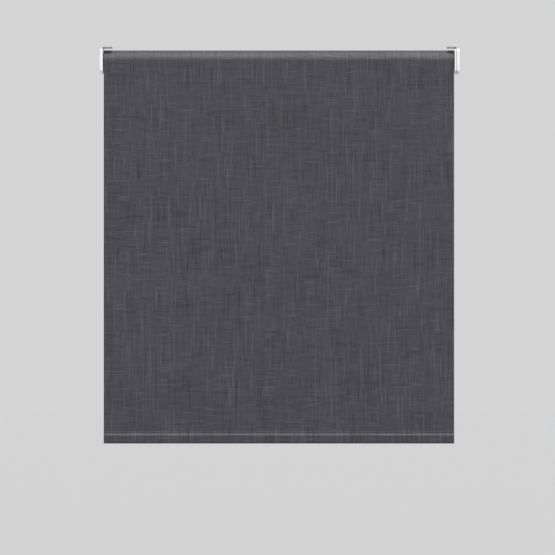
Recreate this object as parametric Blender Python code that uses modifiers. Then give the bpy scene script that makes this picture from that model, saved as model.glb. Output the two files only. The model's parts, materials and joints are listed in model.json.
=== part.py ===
"""A spring-operated roller blind, fixed by two top flanges to the head of a window recess.

The origin is midway between the brackets, on the plane that the flanges are fixed to, over the roller's axis.
+X runs along the roller to the drive end, +Y towards the window, +Z up. The room is on the -Y side.
"""

import math

import bmesh
import bpy
from mathutils import Matrix, Vector

# Driving dimensions, in metres.
HALF_WIDTH = 0.483  # from the middle to the outer face of each cover
FABRIC_LEFT, FABRIC_RIGHT = -0.472, 0.468
AXIS_Z = -0.0388
DROP = 1.0272  # from the roller's axis to the bottom edge
GAP = 0.0003  # between pieces that touch
LOOSE_GAP = 0.0004  # where one piece clips over another or slides in it

# Brackets: pressed angles with the flange turned in over the roll.
PLATE = 0.002
BRACKET_HALF_DEPTH = 0.0295
BRACKET_HEIGHT = 0.070
FLANGE_REACH = 0.0254
BEND_RADIUS = 0.001
BRACKET_CORNER = 0.0068
LEFT_PLATE_OUT, RIGHT_PLATE_OUT = -0.4764, 0.4762
SLOT_WIDTH, SLOT_LENGTH, SLOT_Y = 0.005, 0.010, 0.016

# Covers and liner.
COVER_TOP, COVER_BOTTOM = -0.006, -0.0717
COVER_HALF_DEPTH = 0.0312
COVER_WALL = 0.0015
COVER_CORNER = 0.0085
DOME_RADIUS = 0.203
DOME_HOLLOW = 0.0028
HOLLOW_STEP = 0.0008  # how far the hollow's sides are in from the seat's
LEFT_RIM, RIGHT_RIM = -0.4748, 0.4758
LINER_IN, LINER_OUT = 0.4698, 0.4739

# Roller.
TUBE_RADIUS, TUBE_WALL = 0.025, 0.0015
TUBE_INSIDE = TUBE_RADIUS - TUBE_WALL
TUBE_LEFT, TUBE_RIGHT = -0.4704, 0.4664
ROLL_RADIUS = 0.0290
KEY_ANGLE = math.radians(200)
KEY_DEPTH = 0.0014
KEY_HALF_WIDTH = 0.0014
STRIP_INSET = 0.0002
PLUG_RADIUS = TUBE_INSIDE - GAP
PLUG_FLANGE = 0.0015
PLUG_LENGTH = 0.037
PLUG_SKIN = 0.0027

# Drive end: a fixed shaft and ratchet hub, inside a plug that turns with the tube.
SHAFT_RADIUS = 0.0035
SHAFT_INNER_END, SHAFT_OUTER_END = 0.290, 0.4692
BLADE_WIDTH, BLADE_THICKNESS, BLADE_TIP = 0.008, 0.0028, 0.4776
HUB_RADIUS, HUB_NOTCH_FLOOR, HUB_NOTCH_HALF_WIDTH = 0.0075, 0.0054, 0.0017
HUB_START, HUB_END = 0.4580, 0.4658
NOTCH_ANGLE = math.radians(86)
PAWL_PIVOT_RADIUS, PAWL_PIVOT_ANGLE = 0.012, math.radians(130)
PAWL_AIM = math.radians(-5.2)  # the arm's direction when it is clear of the hub
PAWL_START, PAWL_END = 0.4586, 0.4640
PAWL_HEEL_RADIUS = 0.0022
PIN_RADIUS, PIN_DEPTH = 0.0012, 0.0065
CUP_FLOOR, CUP_RADIUS = 0.4568, 0.0195
CUP_FLOOR_THICKNESS = 0.0088
SPIGOT_RADIUS, SPIGOT_START, SPIGOT_ROOT_WALL = 0.0074, 0.4150, 0.0024
BORE_RADIUS = 0.0063
SHAFT_BUSH_LENGTH = 0.0165

# Torsion spring, between the collar on the shaft and the drive plug.
SPRING_RADIUS, SPRING_WIRE = 0.0085, 0.0007
SPRING_START, SPRING_END, SPRING_TURNS = 0.3070, 0.4285, 19
COLLAR_START, COLLAR_END, COLLAR_FLANGE = 0.3020, 0.3250, 0.003
BEARING_START, BEARING_END = 0.2880, 0.2980
BEARING_WEB, BEARING_HUB_WALL = 0.003, 0.0022

# Idle end: a sprung pin in a plug.
IDLE_PIN_RADIUS = 0.003
IDLE_PIN_TIP = -0.4782
IDLE_COLLAR_START, IDLE_COLLAR_END, IDLE_COLLAR_RADIUS = -0.4655, -0.4635, 0.0058
IDLE_STEM_END, IDLE_STEM_RADIUS = -0.4480, 0.002
IDLE_NOSE = 0.0008
CHAMBER_START, CHAMBER_RADIUS, CHAMBER_WALL = -0.4660, 0.0062, 0.0015
IDLE_WEB = 0.004
CAP_START, CAP_END, CAP_HOLE_RADIUS = -0.4362, -0.4342, 0.0026
PIN_SPRING_RADIUS, PIN_SPRING_WIRE, PIN_SPRING_TURNS = 0.0044, 0.0004, 8
BUSH_INSIDE, BUSH_RADIUS, BUSH_FLANGE = 0.0033, 0.0046, 0.0070
BUSH_STEP, BUSH_FLANGE_THICKNESS = 0.0011, 0.0008

# Fabric, hem and weight bar.
FABRIC_THICKNESS = 0.00045
PANEL_BACK = -(ROLL_RADIUS + GAP)
PANEL_FRONT = PANEL_BACK - FABRIC_THICKNESS
HEM_BOTTOM = AXIS_Z - DROP
HEM_HEIGHT, HEM_BODY, HEM_HALF_THICKNESS, HEM_WALL = 0.030, 0.0225, 0.00315, 0.0006
HEM_CORNER = 0.0026
HEM_Y = (PANEL_BACK + PANEL_FRONT) / 2
HEM_MIDDLE_Z = HEM_BOTTOM + HEM_BODY / 2
BAR_THICKNESS, BAR_HEIGHT, BAR_WALL = 0.0044, 0.020, 0.001
BAR_CORNER, BAR_INNER_CORNER = 0.0021, 0.0006
BAR_LEFT, BAR_RIGHT = -0.4702, 0.4662
BAR_CAP, BAR_TONGUE, TONGUE_OVERLAP = 0.0012, 0.012, 0.0006

AXIS = Vector((0, 0, AXIS_Z))

# How an outline's two directions and its depth lie in the object's frame.
LYING = {
    "YZ": Matrix(((0, 0, 1), (1, 0, 0), (0, 1, 0))),
    "XZ": Matrix(((1, 0, 0), (0, 0, -1), (0, 1, 0))),
    "XY": Matrix.Identity(3),
}
DEPTH_AXIS = {"YZ": Vector((1, 0, 0)), "XZ": Vector((0, 1, 0)), "XY": Vector((0, 0, 1))}


# Outlines: lists of (u, v) points that run anticlockwise.


def arc(middle, radius, start, end, steps):
    """Points on an arc, from one angle to another in degrees."""
    angles = [math.radians(start + (end - start) * i / steps) for i in range(steps + 1)]
    return [(middle[0] + radius * math.cos(a), middle[1] + radius * math.sin(a)) for a in angles]


def circle(radius, middle=(0, 0), steps=48):
    return arc(middle, radius, 0, 360, steps)[:-1]


def rounded_box(low, high, radius, steps=5):
    """A rectangle between two corners, with round corners."""
    (u0, v0), (u1, v1) = low, high
    corners = [(u1, v0, -90), (u1, v1, 0), (u0, v1, 90), (u0, v0, 180)]
    points = []
    for u, v, start in corners:
        middle = (u - math.copysign(radius, u - u0 - radius), v - math.copysign(radius, v - v0 - radius))
        points += arc(middle, radius, start, start + 90, steps)
    return points


def notched_circle(radius, angles, half_width, floor, steps=48):
    """A circle with a straight-sided notch down to the floor radius at each angle."""
    half_angle = math.asin(half_width / radius)
    points = []
    for number, angle in enumerate(angles):
        along = Vector((math.cos(angle), math.sin(angle)))
        across = Vector((-along.y, along.x))
        points += [tuple(along * floor - across * half_width), tuple(along * floor + across * half_width)]
        following = angles[number + 1] if number + 1 < len(angles) else angles[0] + 2 * math.pi
        start, end = math.degrees(angle + half_angle), math.degrees(following - half_angle)
        points += arc((0, 0), radius, start, end, max(2, round(steps * (end - start) / 360)))
    return points


def turned_about(points, angle):
    """The points turned about the outline's own origin."""
    c, s = math.cos(angle), math.sin(angle)
    return [(c * u - s * v, s * u + c * v) for u, v in points]


def moved(points, u, v):
    return [(a + u, b + v) for a, b in points]


# Solids.


def collection(name, shown=True):
    made = bpy.data.collections.new(name)
    bpy.context.scene.collection.children.link(made)
    made.hide_render = not shown
    return made


def from_mesh(name, mesh, origin, group):
    """An object whose mesh was drawn in the whole blind's frame and whose origin is at the given place."""
    mesh.transform(Matrix.Translation(-origin))
    made = bpy.data.objects.new(name, mesh)
    made.location = origin
    group.objects.link(made)
    return made


def extruded(name, loops, low, high, plane, origin, group):
    """A solid from the first loop, with the other loops as holes, between two places along its depth."""
    curve = bpy.data.curves.new(name, "CURVE")
    curve.dimensions = "2D"
    curve.fill_mode = "BOTH"
    curve.extrude = (high - low) / 2
    for loop in loops:
        spline = curve.splines.new("POLY")
        spline.points.add(len(loop) - 1)
        for point, (u, v) in zip(spline.points, loop, strict=True):
            point.co = (u, v, 0, 1)
        spline.use_cyclic_u = True
    outline = bpy.data.objects.new(f"{name}_outline", curve)
    bpy.context.scene.collection.objects.link(outline)
    graph = bpy.context.evaluated_depsgraph_get()
    mesh = bpy.data.meshes.new_from_object(outline.evaluated_get(graph))
    bpy.data.objects.remove(outline)
    bpy.data.curves.remove(curve)
    work = bmesh.new()
    work.from_mesh(mesh)
    bmesh.ops.remove_doubles(work, verts=work.verts, dist=1e-6)
    bmesh.ops.recalc_face_normals(work, faces=work.faces)
    work.to_mesh(mesh)
    work.free()
    mesh.transform(LYING[plane].to_4x4())
    mesh.transform(Matrix.Translation(DEPTH_AXIS[plane] * (low + high) / 2))
    return from_mesh(name, mesh, origin, group)


def turned(name, profile, steps=48, origin=AXIS, group=None):
    """A solid of revolution about a line along X through its origin. The profile is (x, radius) points that run
    to the right along the inside and back along the outside, and it starts and ends at radius 0 if it is solid."""
    solid = profile[0][1] == 0
    count = len(profile)
    edges = [(i, (i + 1) % count) for i in range(count - 1 if solid else count)]
    mesh = bpy.data.meshes.new(name)
    mesh.from_pydata([(x - origin.x, radius, 0) for x, radius in profile], edges, [])
    made = bpy.data.objects.new(name, mesh)
    made.location = origin
    group.objects.link(made)
    screw = made.modifiers.new("turn", "SCREW")
    screw.axis = "X"
    screw.steps = steps
    screw.render_steps = steps
    screw.use_merge_vertices = True
    screw.merge_threshold = 1e-6
    return made


def rod(name, radius, start, end, group, steps=24):
    """A plain cylinder between two places along one axis, drawn about its own middle."""
    start, end = Vector(start), Vector(end)
    work = bmesh.new()
    turn = Vector((0, 0, 1)).rotation_difference(end - start).to_matrix().to_4x4()
    place = Matrix.Translation((start + end) / 2) @ turn
    bmesh.ops.create_cone(
        work, cap_ends=True, segments=steps, radius1=radius, radius2=radius, depth=(end - start).length, matrix=place
    )
    mesh = bpy.data.meshes.new(name)
    work.to_mesh(mesh)
    work.free()
    return from_mesh(name, mesh, (start + end) / 2, group)


def coil(name, radius, wire, start, end, turns, points_a_turn, group):
    """A wire wound about the roller's axis, from start to end along X."""
    curve = bpy.data.curves.new(name, "CURVE")
    curve.dimensions = "3D"
    curve.bevel_depth = wire
    curve.bevel_resolution = 2
    curve.use_fill_caps = True
    spline = curve.splines.new("POLY")
    count = turns * points_a_turn
    spline.points.add(count)
    for i, point in enumerate(spline.points):
        angle = 2 * math.pi * i / points_a_turn
        x = start + (end - start) * i / count
        point.co = (x, radius * math.cos(angle), radius * math.sin(angle), 1)
    made = bpy.data.objects.new(name, curve)
    made.location = AXIS
    group.objects.link(made)
    return made


def combine(target, operation, tool):
    """A Boolean modifier. The tool is hidden: it is a cutter, or it becomes part of the target."""
    tool.hide_render = True
    tool.display_type = "WIRE"
    modifier = target.modifiers.new(f"{operation.lower()}_{tool.name}", "BOOLEAN")
    modifier.operation = operation
    modifier.object = tool
    modifier.solver = "EXACT"


def soften(target, width, segments=2, angle=40):
    bevel = target.modifiers.new("soft_edges", "BEVEL")
    bevel.width = width
    bevel.segments = segments
    bevel.limit_method = "ANGLE"
    bevel.angle_limit = math.radians(angle)
    bevel.harden_normals = False


# Materials.


def material(name, colour, roughness, metallic=0.0):
    made = bpy.data.materials.new(name)
    made.use_nodes = True
    shader = made.node_tree.nodes["Principled BSDF"]
    shader.inputs["Base Color"].default_value = (*colour, 1)
    shader.inputs["Roughness"].default_value = roughness
    shader.inputs["Metallic"].default_value = metallic
    return made


def materials():
    return {
        "white_steel": material("white_steel", (0.82, 0.82, 0.81), 0.4),
        "white_plastic": material("white_plastic", (0.84, 0.84, 0.83), 0.35),
        "grey_plastic": material("grey_plastic", (0.30, 0.30, 0.31), 0.5),
        "nylon": material("nylon", (0.72, 0.70, 0.65), 0.45),
        "zinc_steel": material("zinc_steel", (0.62, 0.63, 0.65), 0.32, 1.0),
        "spring_steel": material("spring_steel", (0.45, 0.45, 0.47), 0.3, 1.0),
        "aluminium": material("aluminium", (0.77, 0.78, 0.79), 0.35, 1.0),
        "fabric": material("fabric", (0.075, 0.073, 0.085), 0.92),
    }


# Brackets, covers and liner.


def angle_bracket(name, plate_out, side, parts, cutters):
    """A pressed angle. Its plate's outer face is at plate_out, and side is +1 at the right end, -1 at the left."""
    plate_in = plate_out - side * PLATE
    flange_end = plate_out - side * FLANGE_REACH
    outer_bend = BEND_RADIUS + PLATE
    bend = (plate_in - side * BEND_RADIUS, -outer_bend)
    outer, inner = (0, 90) if side > 0 else (180, 90), (90, 0) if side > 0 else (90, 180)
    outline = [(plate_in, -BRACKET_HEIGHT), (plate_out, -BRACKET_HEIGHT)]
    outline += arc(bend, outer_bend, *outer, 6)
    outline += [(flange_end, 0), (flange_end, -PLATE)]
    outline += arc(bend, BEND_RADIUS, *inner, 4)
    half = BRACKET_HALF_DEPTH
    origin = Vector(((plate_out + plate_in) / 2, 0, AXIS_Z))
    made = extruded(name, [outline], -half, half, "XZ", origin, parts)
    weights = made.data.attributes.new("bevel_weight_edge", "FLOAT", "EDGE")
    place = made.location
    for edge in made.data.edges:
        ends = [made.data.vertices[v].co + place for v in edge.vertices]
        at_bottom = all(abs(p.z + BRACKET_HEIGHT) < 1e-6 for p in ends)
        at_flange_end = all(abs(p.x - flange_end) < 1e-6 for p in ends)
        at_one_side = abs(ends[0].y - ends[1].y) < 1e-6
        if at_one_side and (at_bottom or at_flange_end):
            weights.data[edge.index].value = 1
    corners = made.modifiers.new("round_corners", "BEVEL")
    corners.limit_method = "WEIGHT"
    corners.width = BRACKET_CORNER
    corners.segments = 7
    middle_x = plate_out - side * (FLANGE_REACH + outer_bend) / 2
    for number, y in enumerate((-SLOT_Y, SLOT_Y)):
        low = (middle_x - SLOT_LENGTH / 2, y - SLOT_WIDTH / 2)
        high = (middle_x + SLOT_LENGTH / 2, y + SLOT_WIDTH / 2)
        outline = rounded_box(low, high, SLOT_WIDTH / 2 - 1e-5)
        slot = extruded(f"{name}_slot_{number}", [outline], -2 * PLATE, PLATE, "XY", origin, cutters)
        combine(made, "DIFFERENCE", slot)
    return made


def cover_outline(margin, top=None):
    """A cover's side outline in Y and Z, drawn in by the margin, with its top edge raised to open it there."""
    low = (-COVER_HALF_DEPTH + margin, COVER_BOTTOM + margin)
    high = (COVER_HALF_DEPTH - margin, COVER_TOP - margin if top is None else top)
    return rounded_box(low, high, COVER_CORNER - margin)


def bracket_cover(name, rim, side, dome, parts, cutters):
    """A moulded cover that clips over a bracket's plate from the outside. Its rim wraps the plate's edges."""
    out = side * HALF_WIDTH
    origin = Vector(((out + rim) / 2, 0, AXIS_Z))
    made = extruded(name, [cover_outline(0)], min(out, rim), max(out, rim), "YZ", origin, parts)
    if dome:
        middle = (out - side * DOME_RADIUS, (COVER_TOP + COVER_BOTTOM) / 2)
        outline = circle(DOME_RADIUS, middle, 240)
        drum = extruded(f"{name}_dome", [outline], -2 * COVER_HALF_DEPTH, 2 * COVER_HALF_DEPTH, "XZ", origin, cutters)
        combine(made, "INTERSECT", drum)
    soften(made, 0.0009, 2)
    plate_out = LEFT_PLATE_OUT if side < 0 else RIGHT_PLATE_OUT
    seat = plate_out + side * LOOSE_GAP
    beyond = rim - side * PLATE
    margin = COVER_HALF_DEPTH - BRACKET_HALF_DEPTH - LOOSE_GAP
    outline = cover_outline(margin, PLATE)
    pocket = extruded(f"{name}_seat", [outline], min(seat, beyond), max(seat, beyond), "YZ", origin, cutters)
    combine(made, "DIFFERENCE", pocket)
    deep = seat + side * DOME_HOLLOW if dome else out - side * COVER_WALL
    start = seat - side * PLATE / 2
    outline = cover_outline(margin + HOLLOW_STEP)
    hollow = extruded(f"{name}_hollow", [outline], min(start, deep), max(start, deep), "YZ", origin, cutters)
    combine(made, "DIFFERENCE", hollow)
    return made


def blade_slot(name, group, low, high):
    """The closed slot that the shaft's blade drops into, as a cutter along X."""
    half_width, half_height = BLADE_WIDTH / 2 + GAP, BLADE_THICKNESS / 2 + GAP
    outline = moved(rounded_box((-half_width, -half_height), (half_width, half_height), 0.0005, 2), 0, AXIS_Z)
    return extruded(name, [outline], low, high, "YZ", Vector(((low + high) / 2, 0, AXIS_Z)), group)


def liner(parts, cutters):
    """The moulded plate between the right bracket and the roll."""
    origin = Vector(((LINER_IN + LINER_OUT) / 2, 0, AXIS_Z))
    made = extruded("bracket_liner_right", [cover_outline(0)], LINER_IN, LINER_OUT, "YZ", origin, parts)
    soften(made, 0.0008, 2)
    combine(made, "DIFFERENCE", blade_slot("liner_blade_slot", cutters, LINER_IN - PLATE, LINER_OUT + PLATE))
    return made


def pin_bush(parts):
    """The nylon bush in the left bracket that the idle pin turns in."""
    inner, outer = LEFT_PLATE_OUT - BUSH_STEP, LEFT_PLATE_OUT + PLATE + GAP
    face = outer + BUSH_FLANGE_THICKNESS
    profile = [
        (inner, BUSH_INSIDE),
        (face, BUSH_INSIDE),
        (face, BUSH_FLANGE),
        (outer, BUSH_FLANGE),
        (outer, BUSH_RADIUS),
        (inner, BUSH_RADIUS),
    ]
    return turned("pin_bush", profile, 32, group=parts)


# Roller.


def roller_tube(parts):
    """An extruded tube with one outside groove, whose back shows inside as a key."""
    outside = notched_circle(TUBE_RADIUS, [KEY_ANGLE], KEY_HALF_WIDTH, TUBE_RADIUS - KEY_DEPTH, 64)
    inside = notched_circle(TUBE_INSIDE, [KEY_ANGLE], KEY_HALF_WIDTH + TUBE_WALL, TUBE_INSIDE - KEY_DEPTH, 64)
    loops = [moved(outside, 0, AXIS_Z), moved(inside, 0, AXIS_Z)]
    return extruded("roller_tube", loops, TUBE_LEFT, TUBE_RIGHT, "YZ", AXIS, parts)


def key_strip(parts):
    """The strip that holds the fabric's top edge in the tube's groove."""
    floor, half_width = TUBE_RADIUS - KEY_DEPTH + GAP, KEY_HALF_WIDTH - GAP
    top = TUBE_RADIUS - STRIP_INSET
    outline = [(floor, -half_width), (top, -half_width), (top, half_width), (floor, half_width)]
    outline = moved(turned_about(outline, KEY_ANGLE), 0, AXIS_Z)
    return extruded("fabric_key_strip", [outline], TUBE_LEFT + 0.001, TUBE_RIGHT - 0.001, "YZ", AXIS, parts)


def fabric_roll(parts):
    """The fabric wound on the tube, as one sleeve."""
    inside = TUBE_RADIUS + GAP
    profile = [
        (FABRIC_LEFT, inside),
        (FABRIC_RIGHT, inside),
        (FABRIC_RIGHT, ROLL_RADIUS),
        (FABRIC_LEFT, ROLL_RADIUS),
    ]
    return turned("fabric_roll", profile, 64, group=parts)


def keyway(name, low, high, cutters):
    """The slot along a plug that the tube's key runs in, as a cutter."""
    half_width, floor = KEY_HALF_WIDTH + TUBE_WALL + LOOSE_GAP, TUBE_INSIDE - KEY_DEPTH - LOOSE_GAP
    outline = [(floor, -half_width), (TUBE_RADIUS, -half_width), (TUBE_RADIUS, half_width), (floor, half_width)]
    outline = moved(turned_about(outline, KEY_ANGLE), 0, AXIS_Z)
    return extruded(name, [outline], low, high, "YZ", AXIS, cutters)


def idle_plug(parts, cutters):
    """The plug at the left end, hollow from behind, that guides the idle pin."""
    face = TUBE_LEFT - GAP - PLUG_FLANGE
    shoulder = TUBE_LEFT - GAP
    back = shoulder + PLUG_LENGTH
    web = shoulder + IDLE_WEB
    sleeve = CHAMBER_RADIUS + CHAMBER_WALL
    profile = [
        (face, IDLE_PIN_RADIUS + LOOSE_GAP),
        (CHAMBER_START, IDLE_PIN_RADIUS + LOOSE_GAP),
        (CHAMBER_START, CHAMBER_RADIUS),
        (back, CHAMBER_RADIUS),
        (back, sleeve),
        (web, sleeve),
        (web, PLUG_RADIUS - PLUG_SKIN),
        (back, PLUG_RADIUS - PLUG_SKIN),
        (back, PLUG_RADIUS),
        (shoulder, PLUG_RADIUS),
        (shoulder, TUBE_RADIUS),
        (face, TUBE_RADIUS),
    ]
    made = turned("idle_plug", profile, 40, group=parts)
    combine(made, "DIFFERENCE", keyway("idle_keyway", shoulder, back + PLATE, cutters))
    return made


def idle_pin(parts):
    """The sprung pin that the left end hangs on: a nose, a collar and a stem that guides the spring."""
    profile = [
        (IDLE_STEM_END, 0),
        (IDLE_STEM_END, IDLE_STEM_RADIUS),
        (IDLE_COLLAR_END, IDLE_STEM_RADIUS),
        (IDLE_COLLAR_END, IDLE_COLLAR_RADIUS),
        (IDLE_COLLAR_START, IDLE_COLLAR_RADIUS),
        (IDLE_COLLAR_START, IDLE_PIN_RADIUS),
        (IDLE_PIN_TIP + IDLE_NOSE, IDLE_PIN_RADIUS),
        (IDLE_PIN_TIP, IDLE_PIN_RADIUS - IDLE_NOSE),
        (IDLE_PIN_TIP, 0),
    ]
    return turned("idle_pin", profile, 24, group=parts)


def pin_spring(parts):
    clear = PIN_SPRING_WIRE + GAP
    start, end = IDLE_COLLAR_END + clear, CAP_START - clear
    return coil("idle_pin_spring", PIN_SPRING_RADIUS, PIN_SPRING_WIRE, start, end, PIN_SPRING_TURNS, 10, parts)


def spring_cap(parts):
    """The ring that closes the idle pin's chamber."""
    inside, outside = CAP_HOLE_RADIUS, CHAMBER_RADIUS - GAP
    profile = [(CAP_START, inside), (CAP_END, inside), (CAP_END, outside), (CAP_START, outside)]
    return turned("idle_spring_cap", profile, 32, group=parts)


def pawl_pivot(angle):
    """A pawl pivot's place in Y and Z, measured from the roller's axis."""
    return PAWL_PIVOT_RADIUS * math.cos(angle), PAWL_PIVOT_RADIUS * math.sin(angle)


def drive_plug(parts, cutters):
    """The plug at the right end: a cup for the ratchet, a bore for the bush and a spigot for the spring."""
    shoulder = TUBE_RIGHT + GAP
    face = shoulder + PLUG_FLANGE
    back = shoulder - PLUG_LENGTH
    web = CUP_FLOOR - CUP_FLOOR_THICKNESS
    root = SPIGOT_RADIUS + SPIGOT_ROOT_WALL
    profile = [
        (SPIGOT_START, BORE_RADIUS),
        (CUP_FLOOR, BORE_RADIUS),
        (CUP_FLOOR, CUP_RADIUS),
        (face, CUP_RADIUS),
        (face, TUBE_RADIUS),
        (shoulder, TUBE_RADIUS),
        (shoulder, PLUG_RADIUS),
        (back, PLUG_RADIUS),
        (back, PLUG_RADIUS - PLUG_SKIN),
        (web, PLUG_RADIUS - PLUG_SKIN),
        (web, root),
        (back, root),
        (back, SPIGOT_RADIUS),
        (SPIGOT_START, SPIGOT_RADIUS),
    ]
    made = turned("drive_plug", profile, 40, group=parts)
    combine(made, "DIFFERENCE", keyway("drive_keyway", back - PLATE, shoulder, cutters))
    for number, angle in enumerate((PAWL_PIVOT_ANGLE, PAWL_PIVOT_ANGLE + math.pi)):
        y, z = pawl_pivot(angle)
        start, end = (CUP_FLOOR - PIN_DEPTH - GAP, y, AXIS_Z + z), (CUP_FLOOR + PLATE, y, AXIS_Z + z)
        combine(made, "DIFFERENCE", rod(f"pawl_pin_hole_{number}", PIN_RADIUS + GAP, start, end, cutters))
    return made


def pawl(name, angle, parts):
    """A ratchet pawl, clear of the hub: an arm from its pivot to a tooth that faces the hub."""
    half_turn = angle - PAWL_PIVOT_ANGLE
    arm = arc((0, 0), PAWL_HEEL_RADIUS, -60, -270, 10)[::-1]
    # u runs from the pivot to the tip of the tooth, and v away from the hub
    tooth = [(0.0052, 0.0003), (0.0070, 0.0014), (0.0077, 0.0013), (0.0081, 0.0), (0.00937, 0.0), (0.00937, 0.0034)]
    outline = arm[:-1] + [(0.0007, -0.0019)] + tooth + [(0.0080, 0.0044), (0.0030, 0.0032)]
    hole = circle(PIN_RADIUS + GAP, (0, 0), 16)
    y, z = pawl_pivot(angle)
    loops = []
    for loop in (outline, hole):
        aimed = turned_about(loop, PAWL_AIM + half_turn)
        loops.append(moved(aimed, y, AXIS_Z + z))
    origin = Vector(((PAWL_START + PAWL_END) / 2, y, AXIS_Z + z))
    return extruded(name, loops, PAWL_START, PAWL_END, "YZ", origin, parts)


def pawl_pin(name, angle, parts):
    y, z = pawl_pivot(angle)
    start, end = (CUP_FLOOR - PIN_DEPTH, y, AXIS_Z + z), (HUB_END + LOOSE_GAP, y, AXIS_Z + z)
    return rod(name, PIN_RADIUS, start, end, parts, 16)


def pawl_washer(parts):
    """The washer that keeps the pawls on their pins."""
    start, end = HUB_END + 0.0010, TUBE_RIGHT + PLUG_FLANGE
    inside, outside = HUB_RADIUS + 2 * LOOSE_GAP, CUP_RADIUS - GAP
    return turned("pawl_washer", [(start, inside), (end, inside), (end, outside), (start, outside)], 40, group=parts)


def shaft_bush(parts):
    """The nylon bush that the drive plug turns in on the fixed shaft."""
    start, end = CUP_FLOOR - GAP - SHAFT_BUSH_LENGTH, CUP_FLOOR - GAP
    inside, outside = SHAFT_RADIUS + GAP, BORE_RADIUS - GAP
    return turned("shaft_bush", [(start, inside), (end, inside), (end, outside), (start, outside)], 32, group=parts)


def spring_shaft(parts, cutters):
    """The shaft that doesn't turn, flattened to a blade where the right bracket holds it."""
    chamfer = 0.0006
    profile = [
        (SHAFT_OUTER_END, 0),
        (SHAFT_OUTER_END, SHAFT_RADIUS),
        (SHAFT_INNER_END + chamfer, SHAFT_RADIUS),
        (SHAFT_INNER_END, SHAFT_RADIUS - chamfer),
        (SHAFT_INNER_END, 0),
    ]
    made = turned("spring_shaft", profile, 32, group=parts)
    half_width, half_height = BLADE_WIDTH / 2, BLADE_THICKNESS / 2
    outline = moved(rounded_box((-half_width, -half_height), (half_width, half_height), 0.0005, 2), 0, AXIS_Z)
    blade = extruded("blade", [outline], SHAFT_OUTER_END - 0.003, BLADE_TIP, "YZ", AXIS, cutters)
    combine(made, "UNION", blade)
    return made


def ratchet_hub(parts):
    """The notched hub fixed on the shaft."""
    notches = [NOTCH_ANGLE, NOTCH_ANGLE + math.pi]
    outline = notched_circle(HUB_RADIUS, notches, HUB_NOTCH_HALF_WIDTH, HUB_NOTCH_FLOOR, 40)
    loops = [moved(outline, 0, AXIS_Z), circle(SHAFT_RADIUS + GAP, (0, AXIS_Z), 32)]
    return extruded("ratchet_hub", loops, HUB_START, HUB_END, "YZ", AXIS, parts)


def shaft_collar(parts):
    """The collar on the shaft's inner end that the spring's fixed end grips."""
    flange = COLLAR_START + COLLAR_FLANGE
    inside = SHAFT_RADIUS + GAP
    profile = [
        (COLLAR_START, inside),
        (COLLAR_END, inside),
        (COLLAR_END, SPIGOT_RADIUS),
        (flange, SPIGOT_RADIUS),
        (flange, SPRING_RADIUS + SPRING_WIRE),
        (COLLAR_START, SPRING_RADIUS + SPRING_WIRE),
    ]
    return turned("shaft_collar", profile, 32, group=parts)


def torsion_spring(parts):
    ends = SPRING_START, SPRING_END
    return coil("torsion_spring", SPRING_RADIUS, SPRING_WIRE, *ends, SPRING_TURNS, 10, parts)


def shaft_bearing(parts, cutters):
    """The disc that centres the shaft's inner end in the tube and turns round it."""
    inside = SHAFT_RADIUS + GAP
    hub, web = inside + BEARING_HUB_WALL, BEARING_START + BEARING_WEB
    profile = [
        (BEARING_START, inside),
        (BEARING_END, inside),
        (BEARING_END, hub),
        (web, hub),
        (web, PLUG_RADIUS - PLUG_SKIN),
        (BEARING_END, PLUG_RADIUS - PLUG_SKIN),
        (BEARING_END, PLUG_RADIUS),
        (BEARING_START, PLUG_RADIUS),
    ]
    made = turned("shaft_bearing", profile, 40, group=parts)
    low, high = BEARING_START - PLATE, BEARING_END + PLATE
    combine(made, "DIFFERENCE", keyway("bearing_keyway", low, high, cutters))
    return made


# Hanging fabric, hem and weight bar.


def fabric_panel(parts):
    """The fabric between the roll and the hem, as one flat sheet that hangs off the front of the roll."""
    low, high = HEM_BOTTOM + HEM_HEIGHT + GAP, AXIS_Z
    outline = [(PANEL_FRONT, low), (PANEL_BACK, low), (PANEL_BACK, high), (PANEL_FRONT, high)]
    origin = Vector((0, HEM_Y, AXIS_Z))
    return extruded("fabric_panel", [outline], FABRIC_LEFT, FABRIC_RIGHT, "YZ", origin, parts)


def hem_pocket(parts):
    """The fabric folded round the bar and sealed to itself above it, open at both ends."""
    bottom, top = HEM_BOTTOM, HEM_BOTTOM + HEM_BODY
    half, radius, seal = HEM_HALF_THICKNESS, HEM_CORNER, HEM_WALL
    outline = arc((half - radius, bottom + radius), radius, -90, 0, 5)
    outline += arc((half - radius, top - radius), radius, 0, 90, 5)
    outline += [(seal, top), (seal, HEM_BOTTOM + HEM_HEIGHT), (-seal, HEM_BOTTOM + HEM_HEIGHT), (-seal, top)]
    outline += arc((radius - half, top - radius), radius, 90, 180, 5)
    outline += arc((radius - half, bottom + radius), radius, 180, 270, 5)
    low, high = (HEM_WALL - half, bottom + HEM_WALL), (half - HEM_WALL, top - HEM_WALL)
    loops = [moved(loop, HEM_Y, 0) for loop in (outline, rounded_box(low, high, radius - HEM_WALL))]
    origin = Vector((0, HEM_Y, HEM_MIDDLE_Z))
    return extruded("hem_pocket", loops, FABRIC_LEFT, FABRIC_RIGHT, "YZ", origin, parts)


def bar_outline(margin, radius):
    half_thickness, half_height = BAR_THICKNESS / 2 - margin, BAR_HEIGHT / 2 - margin
    outline = rounded_box((-half_thickness, -half_height), (half_thickness, half_height), radius, 3)
    return moved(outline, HEM_Y, HEM_MIDDLE_Z)


def weight_bar(parts):
    """The flat hollow bar that keeps the fabric straight."""
    loops = [bar_outline(0, BAR_CORNER), bar_outline(BAR_WALL, BAR_INNER_CORNER)]
    origin = Vector((0, HEM_Y, HEM_MIDDLE_Z))
    return extruded("weight_bar", loops, BAR_LEFT, BAR_RIGHT, "YZ", origin, parts)


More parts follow.
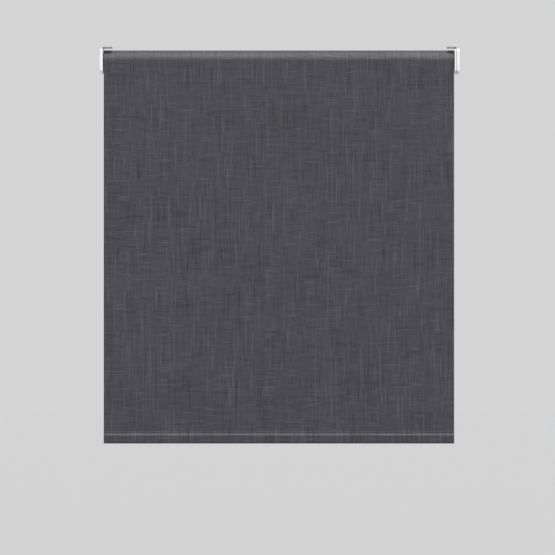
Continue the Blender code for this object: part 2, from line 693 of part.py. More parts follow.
def bar_cap(name, bar_end, side, parts, cutters):
    """A cap on the bar's end, with a tongue that plugs into the bar."""
    inner = bar_end + side * GAP
    outer = inner + side * BAR_CAP
    tongue_end = inner - side * BAR_TONGUE
    origin = Vector((inner, HEM_Y, HEM_MIDDLE_Z))
    made = extruded(name, [bar_outline(0, BAR_CORNER)], min(inner, outer), max(inner, outer), "YZ", origin, parts)
    overlap = inner + side * TONGUE_OVERLAP
    low, high = min(tongue_end, overlap), max(tongue_end, overlap)
    outline = bar_outline(BAR_WALL + GAP, BAR_INNER_CORNER)
    tongue = extruded(f"{name}_tongue", [outline], low, high, "YZ", origin, cutters)
    combine(made, "UNION", tongue)
    return made


# Assembly.


def empty(name, place, group):
    made = bpy.data.objects.new(name, None)
    made.location = place
    made.empty_display_size = 0.02
    group.objects.link(made)
    return made


def carry(parent, *children):
    """Each child is drawn in the blind's frame, and keeps its place under its parent."""
    for child in children:
        child.parent = parent
        child.location = child.location - parent.location


def build():
    for old in list(bpy.data.objects):
        bpy.data.objects.remove(old)
    parts, cutters = collection("roller_blind"), collection("cutters", shown=False)
    look = materials()

    left = angle_bracket("bracket_left", LEFT_PLATE_OUT, -1, parts, cutters)
    start, end = (LEFT_PLATE_OUT - PLATE, 0, AXIS_Z), (LEFT_PLATE_OUT + 2 * PLATE, 0, AXIS_Z)
    combine(left, "DIFFERENCE", rod("bush_hole", BUSH_RADIUS + GAP, start, end, cutters, 32))
    right = angle_bracket("bracket_right", RIGHT_PLATE_OUT, 1, parts, cutters)
    low, high = RIGHT_PLATE_OUT - PLATE - GAP, RIGHT_PLATE_OUT + PLATE
    combine(right, "DIFFERENCE", blade_slot("bracket_blade_slot", cutters, low, high))
    cover_left = bracket_cover("bracket_cover_left", LEFT_RIM, -1, True, parts, cutters)
    cover_right = bracket_cover("bracket_cover_right", RIGHT_RIM, 1, False, parts, cutters)
    liner_right = liner(parts, cutters)
    bush = pin_bush(parts)
    shaft, hub, collar = spring_shaft(parts, cutters), ratchet_hub(parts), shaft_collar(parts)
    panel = fabric_panel(parts)

    tube, strip, roll = roller_tube(parts), key_strip(parts), fabric_roll(parts)
    plug_left, plug_right = idle_plug(parts, cutters), drive_plug(parts, cutters)
    cap, washer, bearing = spring_cap(parts), pawl_washer(parts), shaft_bearing(parts, cutters)
    turning_bush, spring, small_spring = shaft_bush(parts), torsion_spring(parts), pin_spring(parts)
    pin = idle_pin(parts)
    upper, lower = PAWL_PIVOT_ANGLE, PAWL_PIVOT_ANGLE + math.pi
    pins = [pawl_pin("pawl_pin_upper", upper, parts), pawl_pin("pawl_pin_lower", lower, parts)]
    pawls = [pawl("pawl_upper", upper, parts), pawl("pawl_lower", lower, parts)]

    pocket, bar = hem_pocket(parts), weight_bar(parts)
    caps = [
        bar_cap("bar_cap_left", BAR_LEFT, -1, parts, cutters),
        bar_cap("bar_cap_right", BAR_RIGHT, 1, parts, cutters),
    ]

    roller_axis = empty("roller_axis", AXIS, parts)
    carry(roller_axis, tube, strip, roll, plug_left, plug_right, cap, washer, bearing, turning_bush)
    carry(roller_axis, spring, small_spring, pin, *pins, *pawls)
    bar_slide = empty("bar_slide", Vector((0, HEM_Y, HEM_MIDDLE_Z)), parts)
    carry(bar_slide, pocket, bar, *caps)

    made_of = {
        "white_steel": [left, right],
        "white_plastic": [cover_left, cover_right, liner_right],
        "nylon": [bush, turning_bush, bearing, collar],
        "grey_plastic": [plug_left, plug_right, cap, strip, *caps],
        "zinc_steel": [shaft, hub, washer, pin, *pins, *pawls],
        "spring_steel": [spring, small_spring],
        "aluminium": [tube, bar],
        "fabric": [roll, panel, pocket],
    }
    for name, pieces in made_of.items():
        for piece in pieces:
            piece.data.materials.append(look[name])
            if piece.type == "MESH" and piece.data.polygons:
                piece.data.shade_smooth()
                piece.data.set_sharp_from_angle(angle=math.radians(35))


build()
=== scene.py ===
"""The looks of a spring-operated roller blind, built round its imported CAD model.

Lengths are in metres. +X runs along the roller to the drive end, +Y towards the window, +Z up.
"""

import math
from itertools import pairwise

import bpy
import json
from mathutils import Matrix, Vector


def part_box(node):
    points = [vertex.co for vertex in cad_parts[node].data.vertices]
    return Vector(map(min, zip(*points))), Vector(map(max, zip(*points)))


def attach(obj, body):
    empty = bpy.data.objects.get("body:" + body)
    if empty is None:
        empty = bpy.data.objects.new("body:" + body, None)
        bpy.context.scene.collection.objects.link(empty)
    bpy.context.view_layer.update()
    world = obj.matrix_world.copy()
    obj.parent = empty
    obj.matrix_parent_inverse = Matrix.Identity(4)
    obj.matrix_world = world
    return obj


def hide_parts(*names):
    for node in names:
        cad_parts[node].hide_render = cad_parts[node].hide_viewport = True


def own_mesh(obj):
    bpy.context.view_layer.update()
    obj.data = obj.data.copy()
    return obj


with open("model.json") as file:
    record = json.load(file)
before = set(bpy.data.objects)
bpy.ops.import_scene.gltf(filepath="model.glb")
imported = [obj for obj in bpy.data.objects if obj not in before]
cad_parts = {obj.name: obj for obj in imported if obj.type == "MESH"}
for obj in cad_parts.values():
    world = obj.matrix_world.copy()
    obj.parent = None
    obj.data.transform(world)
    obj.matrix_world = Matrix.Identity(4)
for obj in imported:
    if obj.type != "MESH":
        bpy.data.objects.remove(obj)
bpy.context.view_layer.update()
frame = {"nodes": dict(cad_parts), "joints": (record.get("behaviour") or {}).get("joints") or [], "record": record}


def slide_range(name):
    """A sliding joint's two limits, measured from rest."""
    return next(joint["range_m"] for joint in frame["joints"] if joint["name"] == name)


# Places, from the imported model.
ROLL_LOW, ROLL_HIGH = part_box("fabric_roll")
PANEL_LOW, PANEL_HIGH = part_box("fabric_panel")
HEM_LOW, HEM_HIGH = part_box("hem_pocket")
TUBE_LOW, TUBE_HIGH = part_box("roller_tube")
FABRIC_LEFT, FABRIC_RIGHT = ROLL_LOW.x, ROLL_HIGH.x
AXIS_Z = (ROLL_LOW.z + ROLL_HIGH.z) / 2
TUBE_RADIUS = (TUBE_HIGH.z - TUBE_LOW.z) / 2
CLOTH_Y = (PANEL_LOW.y + PANEL_HIGH.y) / 2
TRAVEL_DOWN, TRAVEL_UP = slide_range("bar_lift")

# The cloth.
CLOTH = 0.00045  # thickness
YARN = 0.00045  # from one thread to the next, each way
BACK_FACE, CUT_EDGE = 1, 2  # a piece's materials, counted from its face
DROP_CELLS, RESERVE_CELLS = 64, 24  # each way
WRAP_COLUMNS, WOUND_COLUMNS, HEM_COLUMNS = 48, 8, 64

# The fabric on the roller. Radii are to the middle of the cloth, and angles in degrees from +Y towards +Z.
WRAP_RADIUS = -CLOTH_Y
TUCK_RADIUS = WRAP_RADIUS - 0.00055  # where the outermost turn starts, under its end
WOUND_OUTSIDE, WOUND_INSIDE = WRAP_RADIUS - 0.00105, TUBE_RADIUS + 0.00055
LAYER = 0.00047  # what each turn adds to the wound fabric's radius
TUCK_START, TUCK_END, WRAP_START, WRAP_END = -172, -120, -60, 180
TUCK_STEPS, RISE_STEPS, WRAP_STEPS, WOUND_STEPS = 8, 10, 60, 48  # the last are for one turn
RAGGED, RAGGED_RATE = 0.0003, 45.0  # how far the wound layers' edges wander, and radians a metre

# The spare cloth inside the drop.
RESERVE_THICKNESS, RESERVE_INSET = CLOTH / 2, 0.0003
RESERVE_KEEP, RESERVE_LAP = 0.02, 0.004  # what is left of it when squashed, and its overlap with the drop

# The hem.
HEM_LAP = CLOTH * 1.1  # from the drop's middle to the middle of the cloth sealed onto it
SEAM_RISE = 0.0030  # of the seam over the CAD pocket
SEAM_SINK = 0.00003  # of the front layer's top edge into the drop
HEM_UNDERSIDE, HEM_UNDERSIDE_STEPS, HEM_SIDE_STEPS = 0.0050, 16, 3

# Hardware.
WELD_GAP, FLAT_ANGLE, EDGE_ANGLE = 1e-6, 0.5, 40  # how near vertices merge, and angles in degrees
EASED_EDGE, EASED_SEGMENTS = 0.0002, 2  # the radius broken onto hardware edges
PIN_WIRE, PIN_TURNS = 0.0008, 8  # the idle pin's spring
TORSION_WIRE, TORSION_TURNS = 0.0014, 21
WIRE_STEPS, WIRE_SIDES, WIRE_SHARP = 28, 10, 60  # steps a turn, sides round the wire, and degrees

# The camera and the frame it fills at the fabric.
VIEW_X, VIEW_Z = -0.0058, -0.6206
VIEW_DISTANCE, VIEW_WIDTH, SENSOR = 7.2, 1.489, 36.0

# The stage.
FLOOR_Z, FLOOR_SIZE = -1.60, 24
FLOOR_COLOUR, WORLD_COLOUR = (0.36, 0.36, 0.36, 1.0), (0.66, 0.66, 0.66, 1.0)


# Node trees.


class Graph:
    """A material's nodes, made by short calls that give back an output socket."""

    def __init__(self, name):
        self.material = bpy.data.materials.new(name)
        self.material.use_nodes = True
        self.tree = self.material.node_tree
        self.shader = self.tree.nodes["Principled BSDF"]

    def node(self, kind, inputs=(), **settings):
        made = self.tree.nodes.new(f"ShaderNode{kind}")
        for key, value in settings.items():
            setattr(made, key, value)
        for key, value in dict(inputs).items():
            self.feed(made.inputs[key], value)
        return made

    def feed(self, socket, value):
        if isinstance(value, bpy.types.NodeSocket):
            self.tree.links.new(value, socket)
        else:
            socket.default_value = value

    def finish(self, **values):
        """Feeds the shader's sockets, named with underscores for spaces, and gives back the material."""
        for key, value in values.items():
            self.feed(self.shader.inputs[key.replace("_", " ")], value)
        return self.material

    def math(self, operation, a, b=0.0, clamp=False):
        return self.node("Math", {0: a, 1: b}, operation=operation, use_clamp=clamp).outputs[0]

    def total(self, *terms):
        """The sum of value times weight over (value, weight) pairs."""
        result = 0.0
        for value, weight in terms:
            inputs = {0: value, 1: weight, 2: result}
            result = self.node("Math", inputs, operation="MULTIPLY_ADD").outputs[0]
        return result

    def place(self, stored=None):
        """The place on the object, or the one that its mesh stores under that name."""
        if stored:
            return self.node("Attribute", attribute_name=stored).outputs["Vector"]
        return self.node("TexCoord").outputs["Object"]

    def axes(self, place):
        return self.node("SeparateXYZ", {0: place}).outputs[:]

    def noise(self, place, size, seed, detail=2.0, roughness=0.5, distortion=0.0):
        """Noise about 0.5 with cells of that size, one number or one for each axis. The seed shifts it."""
        sizes = size if isinstance(size, tuple) else (size, size, size)
        scale = tuple(1 / s for s in sizes)
        offset = (seed, seed * 1.7, seed * 0.6)
        cells = self.node("Mapping", {"Vector": place, "Scale": scale, "Location": offset}).outputs[0]
        inputs = {
            "Vector": cells, "Scale": 1.0, "Detail": detail, "Roughness": roughness, "Distortion": distortion,
        }
        return self.node("TexNoise", inputs).outputs["Fac"]

    def remap(self, value, low, high, to_low=0.0, to_high=1.0, smooth=False):
        kind = "SMOOTHSTEP" if smooth else "LINEAR"
        inputs = {"Value": value, "From Min": low, "From Max": high, "To Min": to_low, "To Max": to_high}
        return self.node("MapRange", inputs, interpolation_type=kind).outputs[0]

    def blend(self, factor, dark, light):
        """A colour between two colours."""
        made = self.node("Mix", {"Factor": factor}, data_type="RGBA")
        for key, colour in (("A_Color", dark), ("B_Color", light)):
            socket = next(s for s in made.inputs if s.identifier == key)
            socket.default_value = (*colour, 1.0)
        return next(s for s in made.outputs if s.identifier == "Result_Color")

    def bump(self, height, distance, strength=1.0, normal=None):
        inputs = {"Height": height, "Distance": distance, "Strength": strength}
        if normal is not None:
            inputs["Normal"] = normal
        return self.node("Bump", inputs).outputs[0]


# Fabric materials.


def streaks(g, threads, size, seed, onset):
    """0 over most of the cloth, and 1 on scattered stretches of thread, where the noise passes its onset."""
    return g.remap(g.noise(threads, size, seed, 0.5), *onset, smooth=True)


def slubs(g, place):
    """How far the linen look is from its middle tone, and the height of its yarns.

    Warp yarns run down the cloth and weft yarns across it. Each is one YARN wide and has one tone across
    its width, so slubs run straight along the threads.
    """
    x, _, z = g.axes(place)
    warp = g.node("CombineXYZ", {0: g.math("SNAP", x, YARN), 2: z}).outputs[0]
    weft = g.node("CombineXYZ", {0: x, 2: g.math("SNAP", z, YARN)}).outputs[0]
    warp_broad = g.noise(warp, (0.0046, 1.0, 0.130), 3.1)
    warp_fine = g.noise(warp, (0.0021, 1.0, 0.050), 7.7)
    weft_broad = g.noise(weft, (0.080, 1.0, 0.0046), 11.3)
    weft_fine = g.noise(weft, (0.030, 1.0, 0.0021), 17.9)
    cloudy = g.noise(place, (0.07, 1.0, 0.10), 23.0, 1.0)
    thick, thin = (0.62, 0.72), (0.60, 0.68)
    warp_slub = streaks(g, warp, (0.0044, 1.0, 0.095), 29.0, thick)
    warp_thin = streaks(g, warp, (0.0050, 1.0, 0.120), 37.0, thin)
    weft_slub = streaks(g, weft, (0.056, 1.0, 0.0044), 43.0, thick)
    weft_thin = streaks(g, weft, (0.060, 1.0, 0.0052), 49.0, thin)
    warp_yarn = g.noise(warp, (0.0007, 1.0, 0.028), 53.0, 1.0)
    weft_yarn = g.noise(weft, (0.022, 1.0, 0.0007), 59.0, 1.0)
    everywhere = (
        (warp_broad, 0.40), (warp_fine, 0.50), (weft_broad, 0.30), (weft_fine, 0.38), (cloudy, 0.25),
        (warp_yarn, 0.75), (weft_yarn, 0.55),
    )
    here_and_there = (warp_slub, 0.58), (warp_thin, -0.26), (weft_slub, 0.46), (weft_thin, -0.18)
    middle = sum(weight for _, weight in everywhere) / 2
    tone = g.math("SUBTRACT", g.total(*everywhere, *here_and_there), middle)
    height = g.total(
        (warp_fine, 0.6), (weft_fine, 0.4), (warp_slub, 0.8), (warp_thin, -0.4), (weft_slub, 0.5),
        (warp_yarn, 0.6), (weft_yarn, 0.5),
    )
    return tone, height


def weave(g, place):
    """A plain weave's height: warp and weft threads cross over and under, with uneven threads."""
    uneven = g.noise(place, (0.004, 1.0, 0.004), 51.0, 1.0)
    x, _, z = g.axes(place)
    turns = math.pi / YARN
    across = g.math("SINE", g.total((x, turns), (uneven, 5.0)))
    along = g.math("SINE", g.total((z, turns), (uneven, 4.0)))
    return g.math("MULTIPLY", across, along)


def linen(name, stored=None):
    """Charcoal linen-look cloth: slub yarns down and across it over a plain weave."""
    g = Graph(name)
    place = g.place(stored)
    tone, height = slubs(g, place)
    threads = weave(g, place)
    fac = g.math("ADD", g.total((tone, 1.0), (threads, 0.05)), 0.5, clamp=True)
    normal = g.bump(height, 0.00022, 0.7, g.bump(threads, 0.00010, 0.6))
    return g.finish(
        Base_Color=g.blend(fac, (0.0105, 0.0099, 0.0143), (0.0548, 0.0522, 0.0678)),
        Roughness=g.remap(fac, 0.0, 1.0, 0.56, 0.46), Normal=normal, Specular_IOR_Level=0.5,
        Sheen_Weight=0.10, Sheen_Roughness=0.40, Sheen_Tint=(0.86, 0.88, 1.0, 1.0),
    )


def coated(name, stored=None):
    """The cloth's window side: a matte blackout coating with the yarns showing faintly through it."""
    g = Graph(name)
    place = g.place(stored)
    _, height = slubs(g, place)
    mottle = g.noise(place, (0.035, 1.0, 0.035), 61.0, 4.0, 0.6)
    pores = g.noise(place, 0.0011, 67.0)
    fac = g.total((mottle, 0.7), (pores, 0.3), (height, 0.12))
    colour = g.blend(g.remap(fac, 0.30, 0.85), (0.118, 0.117, 0.124), (0.176, 0.175, 0.184))
    normal = g.bump(g.total((height, 0.6), (pores, 0.4)), 0.00014, 0.6)
    return g.finish(Base_Color=colour, Roughness=g.remap(mottle, 0.3, 0.7, 0.70, 0.84), Normal=normal)


def cut_edge(name):
    """The crush-cut side of the cloth: yarn ends sealed in the coating."""
    g = Graph(name)
    ends = g.noise(g.place(), (0.0006, 0.0006, 0.0012), 71.0, 3.0, 0.6)
    colour = g.blend(g.remap(ends, 0.35, 0.65), (0.040, 0.039, 0.045), (0.150, 0.148, 0.160))
    roughness = g.remap(ends, 0.3, 0.7, 0.75, 0.95)
    return g.finish(Base_Color=colour, Roughness=roughness, Normal=g.bump(ends, 0.00015))


# Hardware materials.


def moulded(name, dark, light, rough, **extra):
    """Moulded plastic: a fine spark-eroded grain, faint flow marks and slightly shinier rubbed patches."""
    g = Graph(name)
    place = g.place()
    flow = g.noise(place, (0.020, 0.009, 0.009), 5.0, 4.0, 0.55, 0.6)
    spark = g.noise(place, 0.0006, 9.0, 3.0, 0.65)
    rubbed = g.noise(place, 0.012, 13.0, 3.0, 0.6)
    colour = g.blend(g.remap(g.total((flow, 0.75), (spark, 0.25)), 0.30, 0.70), dark, light)
    roughness = g.remap(g.total((rubbed, 0.7), (spark, 0.3)), 0.3, 0.7, rough - 0.07, rough + 0.10)
    return g.finish(Base_Color=colour, Roughness=roughness, Normal=g.bump(spark, 0.00003, 0.6), **extra)


def powder_coat(name):
    """White powder coat on pressed steel: soft orange peel and a faint mottle. Its colour is a mid grey, well
    below the white moulding, as painted shade for the plate's recessed edge beside the cover and for the flange.
    """
    g = Graph(name)
    place = g.place()
    peel = g.noise(place, 0.0016, 3.0)
    mottle = g.noise(place, 0.018, 15.0, 4.0, 0.6)
    # mid grey for a white coat: painted shade for the plate edge recessed beside the cover and for the flange; the
    # mottle is the coat's own
    colour = g.blend(g.remap(mottle, 0.35, 0.68), (0.495, 0.493, 0.484), (0.545, 0.543, 0.534))
    roughness = g.remap(mottle, 0.3, 0.7, 0.30, 0.44)
    normal = g.bump(peel, 0.00006, 0.6)
    return g.finish(Base_Color=colour, Roughness=roughness, Normal=normal, Coat_Weight=0.15)


def zinc_plate(name):
    """Zinc-plated steel: fine turning lines, a faint spangle and a cool passivation tint."""
    g = Graph(name)
    place = g.place()
    lines = g.noise(place, (0.00025, 0.006, 0.006), 19.0, 3.0, 0.6)
    spangle = g.noise(place, 0.0035, 25.0, 5.0, 0.7, 1.5)
    fac = g.remap(g.total((lines, 0.4), (spangle, 0.6)), 0.32, 0.66)
    colour = g.blend(fac, (0.46, 0.475, 0.50), (0.72, 0.72, 0.71))
    roughness = g.remap(spangle, 0.3, 0.7, 0.22, 0.42)
    normal = g.bump(lines, 0.00002, 0.5)
    return g.finish(Base_Color=colour, Metallic=1.0, Roughness=roughness, Normal=normal)


def spring_wire(name):
    """Drawn and oiled spring wire."""
    g = Graph(name)
    place = g.place()
    oil = g.noise(place, 0.004, 31.0, 4.0, 0.6)
    drawn = g.noise(place, (0.0012, 0.0003, 0.0003), 33.0)
    fac = g.remap(g.total((oil, 0.7), (drawn, 0.3)), 0.3, 0.7)
    colour = g.blend(fac, (0.20, 0.195, 0.19), (0.47, 0.465, 0.46))
    return g.finish(Base_Color=colour, Metallic=1.0, Roughness=g.remap(oil, 0.3, 0.7, 0.20, 0.40))


def extruded_aluminium(name):
    """Mill-finish extrusion: die lines along X and a dull oxide bloom."""
    g = Graph(name)
    place = g.place()
    die = g.noise(place, (0.35, 0.0004, 0.0004), 41.0, 3.0, 0.6)
    bloom = g.noise(place, (0.05, 0.008, 0.008), 47.0, 4.0, 0.6)
    fac = g.remap(g.total((die, 0.5), (bloom, 0.5)), 0.3, 0.7)
    colour = g.blend(fac, (0.60, 0.61, 0.62), (0.80, 0.805, 0.81))
    roughness = g.remap(bloom, 0.3, 0.7, 0.28, 0.46)
    normal = g.bump(die, 0.00003, 0.5)
    return g.finish(Base_Color=colour, Metallic=1.0, Roughness=roughness, Normal=normal)


def slot_finishes():
    """Each CAD material slot's finish."""
    white = moulded("white_moulding", (0.750, 0.748, 0.737), (0.795, 0.794, 0.785), 0.30, Coat_Weight=0.1)
    nylon = moulded("natural_nylon", (0.62, 0.60, 0.54), (0.75, 0.73, 0.68), 0.42, Subsurface_Weight=0.1)
    return {
        "white_steel": powder_coat("powder_coat_painted_shade"),
        "white_plastic": white,
        "nylon": nylon,
        "grey_plastic": moulded("grey_moulding", (0.22, 0.22, 0.23), (0.31, 0.31, 0.32), 0.48),
        "zinc_steel": zinc_plate("zinc_plate"),
        "spring_steel": spring_wire("oiled_spring_wire"),
        "aluminium": extruded_aluminium("mill_aluminium"),
        "fabric": linen("linen_flat"),
    }


# Hardware pieces.


def dress_hardware(finishes):
    """Every CAD node gets its slot's finish. On a rigid one, flats are made whole and true edges eased."""
    for row in frame["record"]["subparts"]:
        node = frame["nodes"][row["node"]]
        node.data.materials.clear()
        node.data.materials.append(finishes[row["material_slot"]])
        weld = node.modifiers.new("weld", "WELD")
        weld.merge_threshold = WELD_GAP
        if row["material_slot"] not in ("spring_steel", "fabric"):
            flats = node.modifiers.new("whole_flats", "DECIMATE")
            flats.decimate_type = "DISSOLVE"
            flats.angle_limit = math.radians(FLAT_ANGLE)
            eased = node.modifiers.new("eased_edges", "BEVEL")
            eased.limit_method = "ANGLE"
            eased.angle_limit = math.radians(EDGE_ANGLE)
            eased.width = EASED_EDGE
            eased.segments = EASED_SEGMENTS
            node.modifiers.new("face_normals", "WEIGHTED_NORMAL")
        node.data.shade_smooth()


def mesh_piece(name, points, faces, finish):
    mesh = bpy.data.meshes.new(name)
    mesh.from_pydata(points, [], faces)
    for material in finish:
        mesh.materials.append(material)
    made = bpy.data.objects.new(name, mesh)
    bpy.context.scene.collection.objects.link(made)
    return made


def shade(mesh, sharp):
    """Smooth faces, up to edges sharper than that many degrees."""
    mesh.shade_smooth()
    mesh.set_sharp_from_angle(angle=math.radians(sharp))


def coil(name, node, wire, turns, finish):
    """A round-wire spring in a CAD spring's place: open turns with a closed turn at each end."""
    low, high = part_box(node)
    radius = (high.y - low.y) / 2 - wire / 2
    rise = high.x - low.x - 3 * wire  # of the open turns, without the closed ones and the wire's width
    steps = turns * WIRE_STEPS
    points, faces = [], []
    for i in range(steps + 1):
        turn = i / WIRE_STEPS
        open_share = min(max((turn - 1) / (turns - 2), 0), 1)
        closed_turns = min(turn, 1) + max(turn - turns + 1, 0)
        x = low.x + wire / 2 + rise * open_share + wire * closed_turns
        angle = 2 * math.pi * turn
        for k in range(WIRE_SIDES):
            around = 2 * math.pi * k / WIRE_SIDES
            reach = radius + wire / 2 * math.cos(around)
            along = x + wire / 2 * math.sin(around)
            points.append((along, reach * math.cos(angle), AXIS_Z + reach * math.sin(angle)))
    for ring in range(0, steps * WIRE_SIDES, WIRE_SIDES):
        for k in range(WIRE_SIDES):
            a, b = ring + k, ring + (k + 1) % WIRE_SIDES
            faces.append((a, a + WIRE_SIDES, b + WIRE_SIDES, b))
    faces += [tuple(range(WIRE_SIDES)), tuple(reversed(range(steps * WIRE_SIDES, (steps + 1) * WIRE_SIDES)))]
    made = mesh_piece(name, points, faces, [finish])
    shade(made.data, WIRE_SHARP)
    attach(made, "roller")
    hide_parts(node)
    return made


def springs(wire):
    """The torsion spring, and the idle pin's spring, which closes up when the pin goes in."""
    coil("torsion_spring_coil", "torsion_spring", TORSION_WIRE, TORSION_TURNS, wire)
    pin_coil = coil("pin_spring_coil", "idle_pin_spring", PIN_WIRE, PIN_TURNS, wire)
    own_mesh(pin_coil)


# Fabric pieces.


def arc(radius_start, radius_end, start, end, steps):
    """Points in Y and Z round the roller's axis."""
    points = []
    for i in range(steps + 1):
        share = i / steps
        angle = math.radians(start + (end - start) * share)
        radius = radius_start + (radius_end - radius_start) * share
        points.append((radius * math.cos(angle), AXIS_Z + radius * math.sin(angle)))
    return points


def straight(start, end, steps):
    return [tuple(a + (b - a) * i / steps for a, b in zip(start, end, strict=True)) for i in range(steps + 1)]


def length_of(path):
    return sum(math.dist(a, b) for a, b in pairwise(path))


def cloth(name, path, columns, finish, thickness=CLOTH, inset=0.0, start_length=0.0, ragged=0.0):
    """A sheet that runs along X and follows a path in Y and Z. Its face is on the path's right, seen from +X.

    The attribute named cloth holds each point's place on the flat cloth: X, and a height that goes down from
    start_length along the path.
    """
    low, high = FABRIC_LEFT + inset, FABRIC_RIGHT - inset
    heights = [start_length]
    for a, b in pairwise(path):
        heights.append(heights[-1] - math.dist(a, b))
    points, flat = [], []
    for (y, z), height in zip(path, heights, strict=True):
        shift = ragged * math.sin(height * RAGGED_RATE)
        for column in range(columns + 1):
            x = low + (high - low) * column / columns
            points.append((x + shift * (2 * column / columns - 1), y, z))
            flat.append((x, 0.0, height))
    faces = []
    for row in range(len(path) - 1):
        for column in range(columns):
            corner = row * (columns + 1) + column
            faces.append((corner, corner + columns + 1, corner + columns + 2, corner + 1))
    sheet = mesh_piece(name, points, faces, finish)
    attribute = sheet.data.attributes.new("cloth", "FLOAT_VECTOR", "POINT")
    for stored, value in zip(attribute.data, flat, strict=True):
        stored.vector = value
    solid = sheet.modifiers.new("thickness", "SOLIDIFY")
    solid.thickness = thickness
    solid.offset = 0.0
    solid.use_even_offset = True
    solid.material_offset = BACK_FACE
    solid.material_offset_rim = CUT_EDGE
    applied(sheet)
    shade(sheet.data, EDGE_ANGLE)
    return sheet


def applied(piece):
    """The piece's modifiers go into its mesh."""
    graph = bpy.context.evaluated_depsgraph_get()
    shaped = piece.evaluated_get(graph)
    old = piece.data
    made = bpy.data.meshes.new_from_object(shaped, preserve_all_data_layers=True, depsgraph=graph)
    piece.modifiers.clear()
    piece.data = made
    bpy.data.meshes.remove(old)
    made.name = piece.name


def top_turn(finish):
    """The outermost turn, from the front over the top and round to behind the hanging fabric."""
    path = arc(TUCK_RADIUS, TUCK_RADIUS, TUCK_START, TUCK_END, TUCK_STEPS)
    path += arc(TUCK_RADIUS, WRAP_RADIUS, TUCK_END, WRAP_START, RISE_STEPS)[1:]
    path += arc(WRAP_RADIUS, WRAP_RADIUS, WRAP_START, WRAP_END, WRAP_STEPS)[1:]
    length = length_of(path)
    wrap = cloth("fabric_top_turn", path, WRAP_COLUMNS, finish, start_length=AXIS_Z + length)
    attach(wrap, "brackets")
    return wrap, length


def wound_turns(finish, outer):
    """The turns inside the outermost one, whose length is outer."""
    turns = (WOUND_OUTSIDE - WOUND_INSIDE) / LAYER
    start = TUCK_START - 360 * turns
    path = arc(WOUND_INSIDE, WOUND_OUTSIDE, start, TUCK_START, round(turns * WOUND_STEPS))
    length = length_of(path)
    top = AXIS_Z + outer + length
    wound = cloth("fabric_wound", path, WOUND_COLUMNS, finish, start_length=top, ragged=RAGGED)
    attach(wound, "roller")
    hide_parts("fabric_roll")
    return wound


def hanging_drop(finish):
    """The hanging fabric, which shortens towards the roller as the bar rises."""
    path = straight((CLOTH_Y, AXIS_Z), (CLOTH_Y, PANEL_LOW.z), DROP_CELLS)
    drop = cloth("fabric_drop", path, DROP_CELLS, finish)
    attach(drop, "brackets")
    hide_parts("fabric_panel")
    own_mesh(drop)
    return drop


def drop_reserve(finish):
    """Inside the drop's thickness, the fabric that comes off the roll when the bar goes below its rest.

    The drop shortens by as much as the bar goes down, so at the limit the reserve spans twice that travel.
    """
    share = -TRAVEL_DOWN / TRAVEL_UP
    squashed = 1 - share * (1 - RESERVE_KEEP)
    spare = -2 * TRAVEL_DOWN / squashed + RESERVE_LAP
    path = straight((CLOTH_Y, PANEL_LOW.z + spare), (CLOTH_Y, PANEL_LOW.z), RESERVE_CELLS)
    reserve = cloth("fabric_drop_reserve", path, RESERVE_CELLS, finish, RESERVE_THICKNESS, RESERVE_INSET)
    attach(reserve, "bottom_bar")
    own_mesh(reserve)
    return reserve


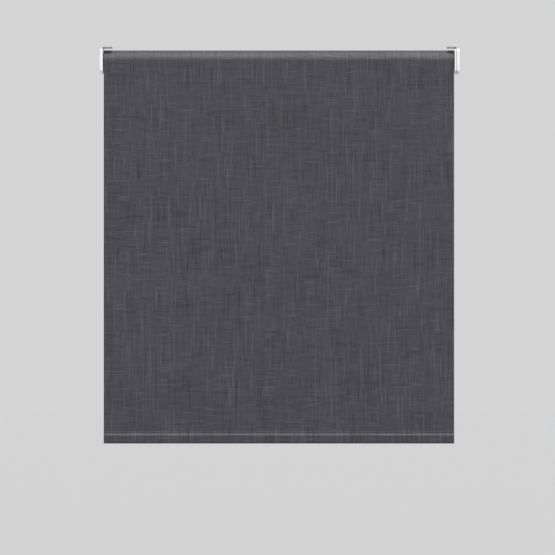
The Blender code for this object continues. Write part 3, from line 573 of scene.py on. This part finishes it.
def hem(finish):
    """The pocket round the bar: down the front from the seam, round the bottom, up the back and sealed."""
    half = (HEM_HIGH.y - HEM_LOW.y) / 2 - CLOTH / 2
    waist = half * 0.95
    low = HEM_LOW.z + CLOTH / 2
    seam = HEM_HIGH.z + SEAM_RISE
    # out from the drop and down from the seam: a pucker, the weld's groove, the bar's shoulder and a waist
    profile = [
        (HEM_LAP * 0.30, 0.0010), (HEM_LAP * 0.70, 0.0020), (HEM_LAP * 0.92, 0.0027),
        (HEM_LAP * 0.86, 0.0033), (HEM_LAP * 0.52, 0.0044), (HEM_LAP * 0.50, 0.0051),
        (HEM_LAP * 0.92, 0.0062), (half * 0.35, 0.0075), (half * 0.64, 0.0089), (half * 0.88, 0.0103),
        (half * 0.98, 0.0116), (half, 0.0128), (half * 0.985, 0.0142), (waist, 0.0162),
        (half * 0.945, 0.0190), (waist, 0.0225),
    ]
    path = [(CLOTH_Y + SEAM_SINK, seam)] + [(CLOTH_Y - out, seam - down) for out, down in profile]
    path += straight(path[-1], (CLOTH_Y - waist, low + HEM_UNDERSIDE), HEM_SIDE_STEPS)[1:]
    for i in range(1, HEM_UNDERSIDE_STEPS + 1):
        angle = math.pi + math.pi * i / HEM_UNDERSIDE_STEPS
        path.append((CLOTH_Y + waist * math.cos(angle), low + HEM_UNDERSIDE * (1 + math.sin(angle))))
    # the back is the front's mirror image, but lies flat where the front puckers
    sealed = [(HEM_LAP, profile[0][1]), (HEM_LAP, 0.0)]
    back = [(CLOTH_Y + out, seam - down) for out, down in profile[:0:-1] + sealed]
    path += straight(path[-1], back[0], HEM_SIDE_STEPS)[1:] + back[1:]
    pocket = cloth("hem_fabric", path, HEM_COLUMNS, finish, start_length=seam)
    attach(pocket, "bottom_bar")
    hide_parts("hem_pocket")
    return pocket


def fabric(face):
    """The whole cloth, as five pieces. Rolled and folded ones take their pattern from the flat cloth."""
    edge = cut_edge("linen_cut_edge")
    flat = [face, coated("coating_flat"), edge]
    rolled = [linen("linen_rolled", "cloth"), coated("coating_rolled", "cloth"), edge]
    wrap, outer = top_turn(rolled)
    return wrap, wound_turns(rolled, outer), hanging_drop(flat), drop_reserve(flat), hem(rolled)


# Stage, light and camera.


def stage():
    g = Graph("pale_floor")
    g.finish(Base_Color=FLOOR_COLOUR, Roughness=0.9)
    bpy.ops.mesh.primitive_plane_add(size=FLOOR_SIZE, location=(0, 0, FLOOR_Z))
    floor = bpy.context.object
    floor.name = "floor"
    floor.data.materials.append(g.material)
    world = bpy.data.worlds.new("studio")
    world.use_nodes = True
    background = world.node_tree.nodes["Background"]
    background.inputs["Color"].default_value = WORLD_COLOUR
    background.inputs["Strength"].default_value = 1.0
    bpy.context.scene.world = world


def overhead(elevation, power, spread):
    """A soft, even light from above the front, at an elevation and of a width in degrees."""
    light = bpy.data.lights.new("overhead", "SUN")
    light.energy = power
    light.angle = math.radians(spread)
    lamp = bpy.data.objects.new("overhead", light)
    lamp.rotation_euler = (math.radians(90 - elevation), 0, 0)
    bpy.context.scene.collection.objects.link(lamp)


def camera():
    data = bpy.data.cameras.new("camera")
    data.sensor_width = SENSOR
    data.lens = SENSOR * VIEW_DISTANCE / VIEW_WIDTH
    made = bpy.data.objects.new("camera", data)
    made.location = (VIEW_X, CLOTH_Y - VIEW_DISTANCE, VIEW_Z)
    made.rotation_euler = (math.pi / 2, 0, 0)
    bpy.context.scene.collection.objects.link(made)
    bpy.context.scene.camera = made


camera()
stage()
overhead(elevation=64, power=3.8, spread=45)
bpy.context.scene.view_settings.view_transform = "Standard"
slots = slot_finishes()
dress_hardware(slots)
springs(slots["spring_steel"])
for piece in fabric(slots["fabric"]):
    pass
